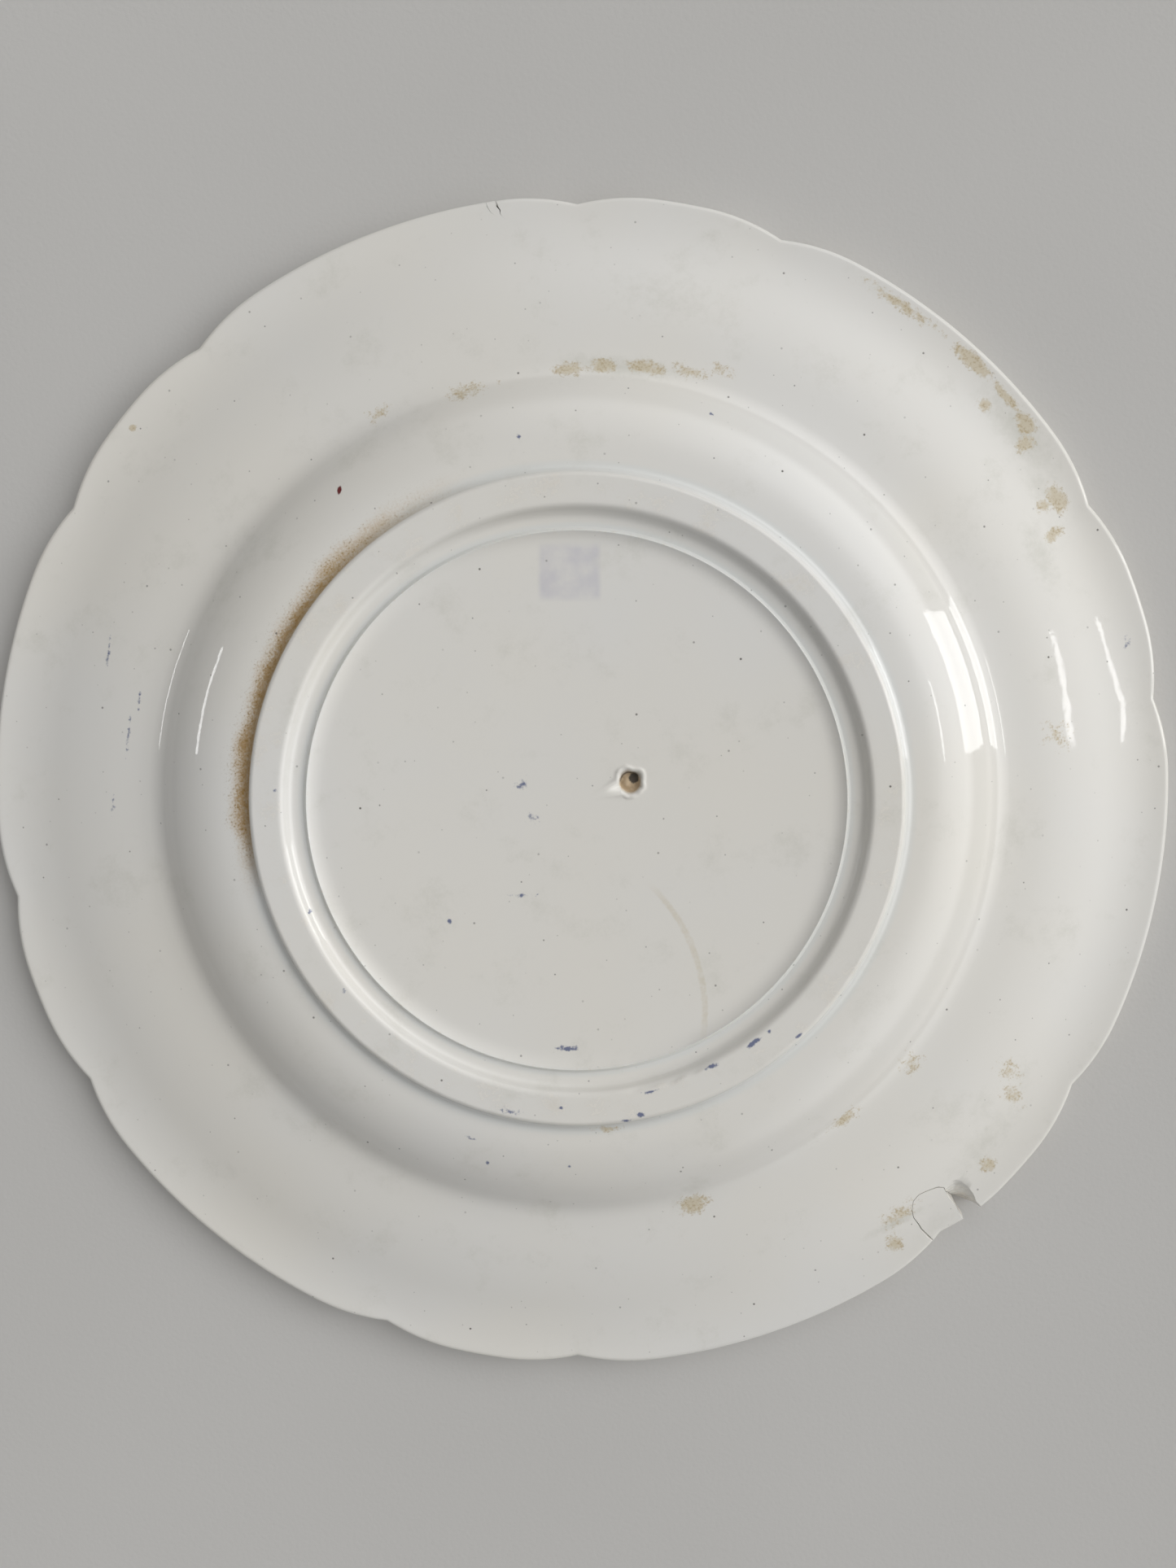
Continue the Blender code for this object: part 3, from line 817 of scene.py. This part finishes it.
def makeGlaze(name, crusts, hazes, inks):
    material, start = newMaterial(name)
    looks = glazeLooks
    place = start.node("ShaderNodeTexCoord", None, None, "Object")
    flat = start.node("ShaderNodeVectorMath", {"operation": "MULTIPLY"}, {0: place, 1: (1, 1, 0)})
    radius = awayFrom(flat, (0, 0, 0))
    degrees = start.math("ARCTAN2", place.part("Y"), place.part("X")) * (180 / math.pi)
    height = place.part("Z") * 1000
    middle = radius.line(58, 75, 12.6, 6.6) + radius.line(75, 103.5, 0.0, -4.3)
    under = (height - middle).ramp(-0.4, 0.2)

    # soft changes of tone, and pooled glaze in the hollows
    colour = place.grain(48 * mm, 1.0).ramp(-0.5, 0.5).over(looks["cream"], looks["milk"])
    hollow = (radius - groove).size().ramp(1.2, 0.2) + (radius - (footRoot + 0.3)).size().ramp(1.6, 0.2)
    colour = (hollow * under * 0.4).over(colour, looks["pooled"])
    edge = height.ramp(3.9, 2.8) * radius.ramp(99, 100.5)
    colour = (edge * place.grain(9 * mm, 7.0).ramp(-0.5, 0.6) * 0.6).over(colour, looks["thin"])

    # worn standing face and ridge
    fine = place.grain(0.7 * mm, 11.0, 3.0, 0.6)
    top = plateSizes["height"]
    face = height.ramp(top - 0.4, top - 0.1) * radius.ramp(48.4, 48.9)
    worn = face * (place.grain(5 * mm, 13.0) + fine * 0.6).ramp(0.0, 0.7)
    crest = (radius - ridge).size().ramp(0.5, 0.1) * fine.ramp(0.0, 0.5) * under
    colour = (worn * 0.22 + crest * 0.3).over(colour, looks["thin"])

    # stain in the corner outside the foot ring: ochre, wide and grainy on its outer side
    patches = place.grain(1.5 * mm, 19.0, 4.0, 0.7)
    dust = place.grain(0.4 * mm, 61.0, 2.0, 0.6)
    along = degrees.ramp(84, 124) * degrees.ramp(178, 160) * under
    spread = radius - place.grain(5 * mm, 17.0) * 1.6 - dust * 1.2
    stain = radius.ramp(54.4, 54.9) * spread.ramp(58.8, 55.4) * along
    core = radius.ramp(54.5, 55.0) * (spread + patches * 0.5).ramp(57.6, 55.8)
    core = core * along * degrees.ramp(108, 130)
    colour = (stain * (patches * 0.5 + dust * 0.5 + 0.75)).over(colour, looks["ochre"])
    colour = (core * (0.42 + patches * 0.5)).over(colour, looks["brown"])
    grit = (dust + patches * 0.5).ramp(0.2, 0.45) * radius.ramp(54.2, 55.0) * spread.ramp(60.0, 56.0) * along
    colour = (grit * 0.5).over(colour, looks["olive"])

    # faint scuffs and mottling all over the underside
    scuff = (place.grain(11 * mm, 67.0, 6.0, 0.68) + dust * 0.12).ramp(0.05, 0.6) * under
    colour = (scuff * 0.4).over(colour, looks["haze"])

    # grey bloom, then beige residue, patchy inside each mark
    haze = (markLevel(flat, hazes) + patches * 0.5).ramp(0.0, 0.9) * under
    colour = (haze * 0.6).over(colour, looks["haze"])
    crust = (markLevel(flat, crusts) + patches * 0.9 + dust * 0.4).ramp(0.0, 0.6) * under
    colour = (crust * 0.7).over(colour, looks["beige"])
    colour = (crust * (dust + patches * 0.6).ramp(0.0, 0.4) * 0.55).over(colour, looks["tan"])

    # stray ink, the lavender smudge, the maroon speck and a faint drip line
    ragged = place.grain(0.8 * mm, 23.0, 3.0, 0.6)
    ink = (markLevel(flat, inks) + ragged * 0.9).ramp(0.1, 0.6) * under
    colour = (ink * 0.85).over(colour, looks["ink"])
    smudgeMap = {"Vector": flat, "Location": smudgeSizes["place"]}
    smudgeMap["Rotation"] = (0, 0, math.radians(smudgeSizes["turn"]))
    smudge = start.node("ShaderNodeMapping", {"vector_type": "TEXTURE"}, smudgeMap)
    square = (smudge.part("X").size() * 1000).ramp(5.6, 4.4) * (smudge.part("Y").size() * 1000).ramp(5.2, 3.6)
    blotch = (place.grain(4 * mm, 29.0, 3.0) + 0.35).ramp(-0.4, 0.9)
    colour = (square * blotch * under * 0.42).over(colour, looks["lavender"])
    speck = (markLevel(flat, speckMarks) + ragged * 0.35).ramp(0.05, 0.4)
    colour = (speck * under).over(colour, looks["maroon"])
    drip = (awayFrom(flat, dripSizes["middle"]) - dripSizes["radius"] + ragged * 0.25).size()
    across = place.part("X").ramp(2 * mm, 7 * mm) * place.part("Y").ramp(-46 * mm, -41 * mm)
    drip = drip.ramp(0.7, 0.25) * across * place.part("Y").ramp(-16 * mm, -22 * mm) * under
    colour = (drip * (patches + 0.5).ramp(-0.2, 0.9) * 0.35).over(colour, looks["beige"])

    # pinholes in the glaze, some large and dark, most faint
    pin = None
    for cell, reach, least, dark, away in pinSizes:
        moved = start.node("ShaderNodeVectorMath", {"operation": "ADD"}, {0: place, 1: (away, away, 0)})
        sockets = {"Vector": moved, "Scale": 1 / cell}
        cells = start.node("ShaderNodeTexVoronoi", {"voronoi_dimensions": "2D"}, sockets)
        luck = start.node("ShaderNodeTexVoronoi", {"voronoi_dimensions": "2D"}, sockets, "Color").part("X")
        holes = cells.ramp(reach, reach * 0.4) * luck.line(least, 1.0, 0.0, dark)
        pin = holes if pin is None else pin.larger(holes)
    colour = pin.over(colour, looks["hole"])

    # the burst bubble: bare clay with dark dirt, darker on the side away from the mound and along its +y
    # wall, where the darkening is painted shade
    pitReach = awayFrom(flat, (pitPlace.x * mm, pitPlace.y * mm, 0)) + ragged * 0.2
    bare = pitReach.ramp(1.95, 1.6) * under
    colour = bare.over(colour, looks["clay"])
    # dirt plus painted shade: the hole's +x side, whose wall faces away from the key light, is painted near
    # black
    toDirtAndShade = awayFrom(flat, ((pitPlace.x + 0.85) * mm, (pitPlace.y + 0.35) * mm, 0)) + fine * 0.35
    colour = (bare * toDirtAndShade.ramp(1.05, 0.65) * 0.95).over(colour, looks["hole"])
    # dirt plus painted shade: a dark band painted along the hole's inner wall on its +y side
    wallDirtAndShade = pitReach.ramp(1.35, 1.6) * (place.part("Y") - (pitPlace.y + 0.2) * mm).ramp(0, 0.8 * mm)
    colour = (bare * wallDirtAndShade * 0.8).over(colour, looks["hole"])

    rough = looks["gloss"] + place.grain(14 * mm, 31.0).ramp(-1, 1, 0.025) + crust * 0.3 + stain * 0.25
    rough = rough + worn * 0.3 + face * 0.12 + bare * 0.6 + crest * 0.2 + haze * 0.12
    peel = place.grain(2.2 * mm, 37.0) * 0.25 - pin * 0.8 + worn * fine * 0.6 + bare * fine
    finishMaterial(start, colour, rough, peel, 0.03 * mm)
    return material


clayLooks = {"pale": (0.78, 0.76, 0.70, 1), "dirty": (0.52, 0.42, 0.25, 1)}


def makeClay(name):  # bare clay of a break, grimy in patches
    material, start = newMaterial(name)
    place = start.node("ShaderNodeTexCoord", None, None, "Object")
    grain = place.grain(0.5 * mm, 41.0, 4.0, 0.7)
    grime = (place.grain(2.4 * mm, 43.0, 3.0) + grain * 0.3).ramp(-0.1, 0.7)
    colour = (grime * 0.55).over(clayLooks["pale"], clayLooks["dirty"])
    finishMaterial(start, colour, 0.75 + grain * 0.1, grain, 0.06 * mm)
    return material


# Lights go by the picture: degrees from its right-hand side and above the table
roomLooks = {  # all neutral: brightness only
    "ambient": 0.155,
    "ceiling": 0.31,
    "overhead": (0.75, 0.95),  # heights on the unit sphere between which the ceiling comes in
    "glows": ((0, 1.26), (45, 1.09)),  # azimuth and brightness of broad soft glows
    "foot": (0.25, 0.45),  # heights between which a glow comes in, and goes out again
    "head": (0.95, 0.75),
    "side": (0.1, 0.75),  # and how far it reaches round
}
softBoxes = {  # azimuth, elevation, wide and tall in degrees, radiance
    "keyBox": (14.0, 15.0, 21.0, 24.0, 4.5),
    "topStrip": (7.0, 48.5, 9.0, 1.6, 6.0),
    "edgeStrip": (170.0, 30.0, 14.0, 2.6, 7.0),
}
lampDistance = 6.0


def inPicture(azimuth, elevation):  # direction from the plate
    turn = math.radians(azimuth - 20)
    lift = math.radians(elevation)
    return Vector((math.cos(turn) * math.cos(lift), math.sin(turn) * math.cos(lift), math.sin(lift)))


def addLights():
    world = bpy.data.worlds.new("softRoom")
    world.use_nodes = True
    world.node_tree.nodes.clear()
    start = Wire(world.node_tree)
    toward = start.node("ShaderNodeTexCoord", None, None, "Generated")
    height = toward.part("Z")
    band = height.ramp(*roomLooks["foot"]) * height.ramp(*roomLooks["head"])
    glow = height.ramp(*roomLooks["overhead"]) * roomLooks["ceiling"] + roomLooks["ambient"]
    for azimuth, brightness in roomLooks["glows"]:
        aim = inPicture(azimuth, 0)
        sockets = {0: toward, 1: aim}
        facing = start.node("ShaderNodeVectorMath", {"operation": "DOT_PRODUCT"}, sockets, "Value")
        glow = glow + band * facing.ramp(*roomLooks["side"]) * brightness
    sky = start.node("ShaderNodeBackground", None, {"Color": (1, 1, 1, 1), "Strength": glow})
    start.node("ShaderNodeOutputWorld", None, {"Surface": sky})
    scene.world = world
    for name, (azimuth, elevation, wide, tall, radiance) in softBoxes.items():
        light = bpy.data.lights.new(name, "AREA")
        light.shape = "RECTANGLE"
        light.size = 2 * lampDistance * math.tan(math.radians(wide / 2))
        light.size_y = 2 * lampDistance * math.tan(math.radians(tall / 2))
        light.energy = radiance * math.pi * light.size * light.size_y
        lamp = addObject(name, light)
        aim = inPicture(azimuth, elevation)
        lamp.location = aim * lampDistance
        lamp.rotation_euler = aim.to_track_quat("Z", "Y").to_euler()


floorLooks = {"dark": (0.55, 0.54, 0.52, 1), "light": (0.59, 0.58, 0.56, 1), "reach": 12.0}


def addFloor():
    material, start = newMaterial("paleTable")
    place = start.node("ShaderNodeTexCoord", None, None, "Object")
    tone = place.grain(120 * mm, 51.0).ramp(-0.7, 0.7)
    colour = tone.over(floorLooks["dark"], floorLooks["light"])
    finishMaterial(start, colour, 0.8, place.grain(0.8 * mm, 53.0), 0.02 * mm)
    shape = bmesh.new()
    bmesh.ops.create_grid(shape, x_segments=8, y_segments=8, size=floorLooks["reach"])
    mesh = bpy.data.meshes.new("paleTable")
    shape.to_mesh(mesh)
    shape.free()
    mesh.materials.append(material)
    floor = addObject("paleTable", mesh)


# Metres and degrees, as the photograph was taken
cameraLooks = {"lens": 27.03, "place": (0.0108, 0.0140, 0.2114), "turn": (-3.927, 0.968, -19.993)}


def addCamera():
    camera = bpy.data.cameras.new("photoCamera")
    camera.lens = cameraLooks["lens"]
    camera.sensor_width = 36
    camera.clip_start = 0.01
    eye = addObject("photoCamera", camera)
    eye.location = cameraLooks["place"]
    eye.rotation_euler = [math.radians(turn) for turn in cameraLooks["turn"]]
    scene.camera = eye


addCamera()
addLights()
addFloor()
scene.view_settings.view_transform = "Standard"
print("stage set")

clay = makeClay("bareClay")
wholePlate = turnPlate(makeGlaze("plateGlaze", chipCrusts + crustMarks, hazeMarks, inkMarks))
plate = buildPlate(wholePlate, clay)
wearUnderside(plate.data)
shard = buildShard(wholePlate, clay)
shardGlaze = makeGlaze("shardGlaze", chipCrusts, hazeMarks[:2], inkMarks[:1])
shard.data.materials[0] = shardGlaze
for piece, node, slot in ((plate, "plate", "plate_glaze"), (shard, "rim_fragment", "fragment_glaze")):
    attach(piece, "root")
    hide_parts(node)
print("pieces ride on the frame")
